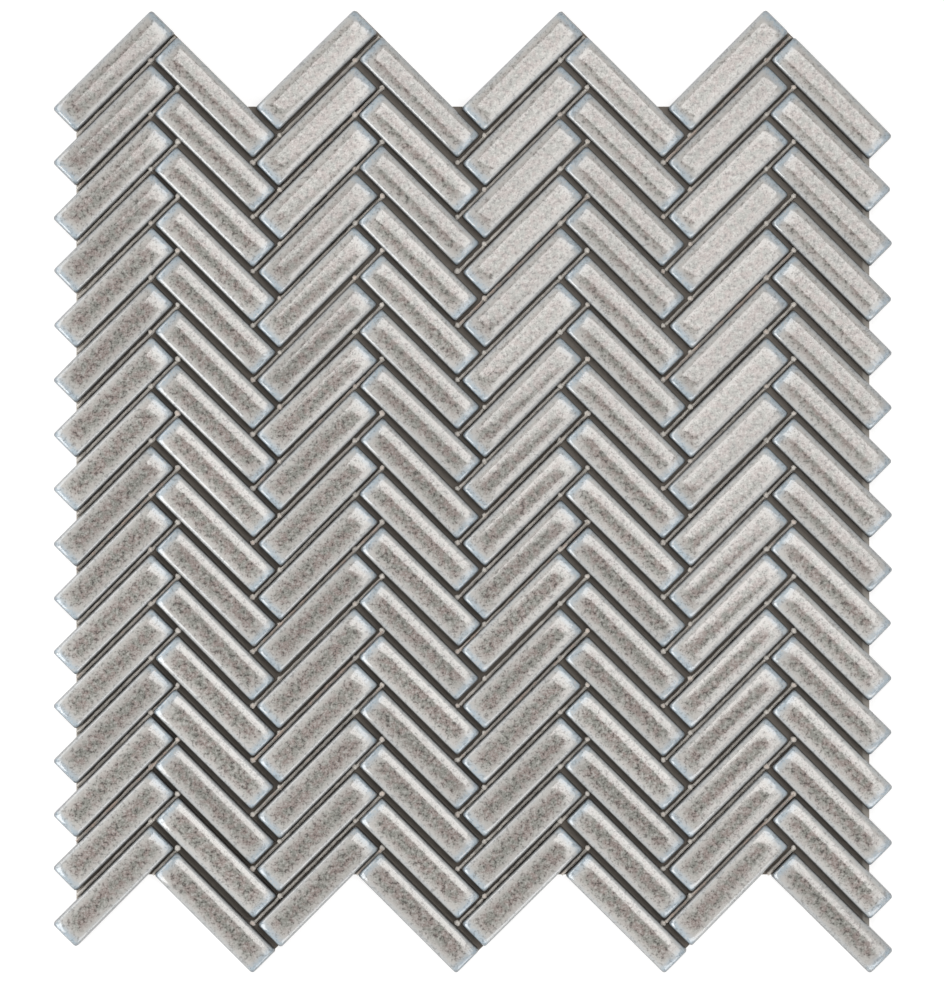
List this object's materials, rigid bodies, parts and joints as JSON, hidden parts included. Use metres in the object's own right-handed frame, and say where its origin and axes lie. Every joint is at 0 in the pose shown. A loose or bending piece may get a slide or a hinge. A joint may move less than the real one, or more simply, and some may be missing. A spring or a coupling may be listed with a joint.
{
  "type": "herringbone mosaic tile sheet",
  "caption": "Mosaic sheet of glazed ceramic bars laid in a herringbone, with zigzag top and bottom edges and toothed sides, on a thin backing mesh.",
  "frame": {"origin": "the middle of the sheet's box, on the back of the mesh", "axes": "+Z out of the glazed face, +Y up the sheet along the herringbone's columns, +X across the columns"},
  "size_m": [0.2636, 0.303, 0.0064],
  "materials": {
    "glaze": "glossy mottled grey glaze",
    "mesh": "glass-fibre mesh set in pale glue"
  },
  "bodies": {
    "root": {"tile_column_1": "glaze", "tile_column_2": "glaze", "tile_column_3": "glaze", "tile_column_4": "glaze", "tile_column_5": "glaze", "tile_column_6": "glaze", "tile_column_7": "glaze", "tile_column_8": "glaze", "backing_mesh": "mesh"}
  },
  "joints": []
}
